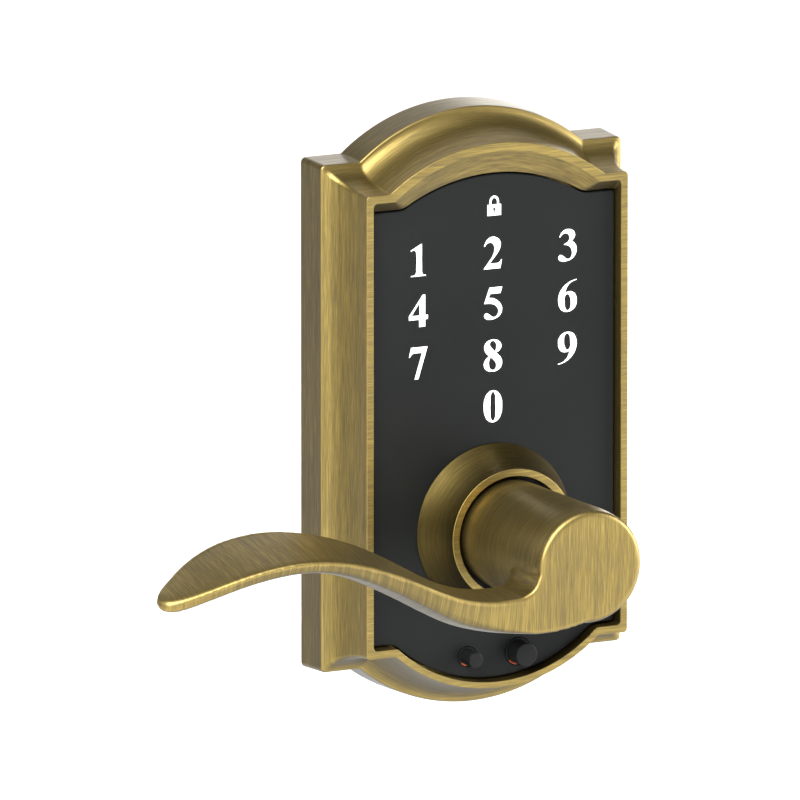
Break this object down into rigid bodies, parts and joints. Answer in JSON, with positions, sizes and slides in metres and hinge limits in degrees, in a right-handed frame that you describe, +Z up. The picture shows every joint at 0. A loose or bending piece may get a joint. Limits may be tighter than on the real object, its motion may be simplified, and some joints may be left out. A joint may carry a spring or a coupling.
{
  "type": "keypad lever smart lock, outside half",
  "caption": "Outside half of a keypad smart lock: arched brass escutcheon, black touch panel, wave lever on a round collar, battery contacts and a clutch cartridge.",
  "frame": {"origin": "on the lever's and spindle's axis, at the plane of the door's outside face", "axes": "+Y goes into the door along the spindle, -Y is the front, +Z is up, +X is to the right seen from the front; the lever points to -X"},
  "size_m": [0.1393, 0.1196, 0.1366],
  "materials": {
    "antique_brass": "satin, brushed antique finish",
    "black_lens": "satin black touch panel",
    "black_contact": "satin black",
    "orange_seal": "matt",
    "circuit_board": "solder mask",
    "clear_plastic": "frosted",
    "black_plastic": "matt",
    "white_nylon": "matt",
    "black_rubber": "matt",
    "zinc_plated": "satin",
    "bright_steel": "satin"
  },
  "bodies": {
    "escutcheon": {"escutcheon_housing": "antique_brass", "touch_lens": "black_lens", "lens_gasket": "black_rubber", "touch_sensor_board": "circuit_board", "light_guide": "clear_plastic", "control_board": "circuit_board", "processor_chip": "black_plastic", "harness_header": "white_nylon", "sounder": "black_plastic", "contact_stud_small": "black_contact", "contact_seal_small": "orange_seal", "contact_stud_large": "black_contact", "contact_seal_large": "orange_seal", "rose_collar": "antique_brass", "neck_bushing": "white_nylon", "back_plate": "bright_steel", "door_gasket": "black_rubber", "mounting_post_left": "zinc_plated", "mounting_post_right": "zinc_plated", "plate_screw_1": "zinc_plated", "plate_screw_2": "zinc_plated", "plate_screw_3": "zinc_plated", "plate_screw_4": "zinc_plated", "spring_cage": "bright_steel", "return_spring": "bright_steel", "motor_can": "bright_steel", "fork_guide_rod": "bright_steel", "cage_end_plate": "bright_steel", "cage_standoff_1": "zinc_plated", "cage_screw_1": "zinc_plated", "cage_standoff_2": "zinc_plated", "cage_screw_2": "zinc_plated", "cage_standoff_3": "zinc_plated", "cage_screw_3": "zinc_plated", "cage_standoff_4": "zinc_plated", "cage_screw_4": "zinc_plated"},
    "lever": {"lever_handle": "antique_brass", "lever_stem": "bright_steel", "lever_set_screw": "bright_steel", "stem_snap_ring": "bright_steel", "driver_cup": "zinc_plated"},
    "spindle": {"spindle_bar": "bright_steel", "spindle_hub": "zinc_plated", "hub_snap_ring": "bright_steel", "clutch_spring": "bright_steel"},
    "clutch": {"clutch_collar": "zinc_plated"},
    "lead_screw": {"lead_screw": "bright_steel"},
    "fork": {"shift_fork": "white_nylon"}
  },
  "joints": [
    {"name": "lever_turn", "type": "hinge", "parent": "escutcheon", "child": "lever", "pos_m": [0, 0, 0], "axis": [0, 1, 0], "range_deg": [-50, 50], "stiffness_Nm_per_rad": 1.3, "springref_deg": 1.35},
    {"name": "spindle_turn", "type": "hinge", "parent": "escutcheon", "child": "spindle", "pos_m": [0, 0, 0], "axis": [0, 1, 0], "range_deg": [-50, 50]},
    {"name": "clutch_slide", "type": "slide", "parent": "spindle", "child": "clutch", "axis": [0, -1, 0], "range_m": [0, 0.0026]},
    {"name": "lead_screw_turn", "type": "hinge", "parent": "escutcheon", "child": "lead_screw", "pos_m": [0, 0, 0.0232], "axis": [0, 1, 0], "range_deg": [0, 720]},
    {"name": "fork_slide", "type": "slide", "parent": "escutcheon", "child": "fork", "axis": [0, -1, 0], "range_m": [0, 0.0026]}
  ],
  "couplings": [
    {"joint": "spindle_turn", "follows": "lever_turn", "ratio": 1},
    {"joint": "lead_screw_turn", "follows": "fork_slide", "rad_per_m": 4833},
    {"joint": "clutch_slide", "follows": "fork_slide", "ratio": 1}
  ]
}
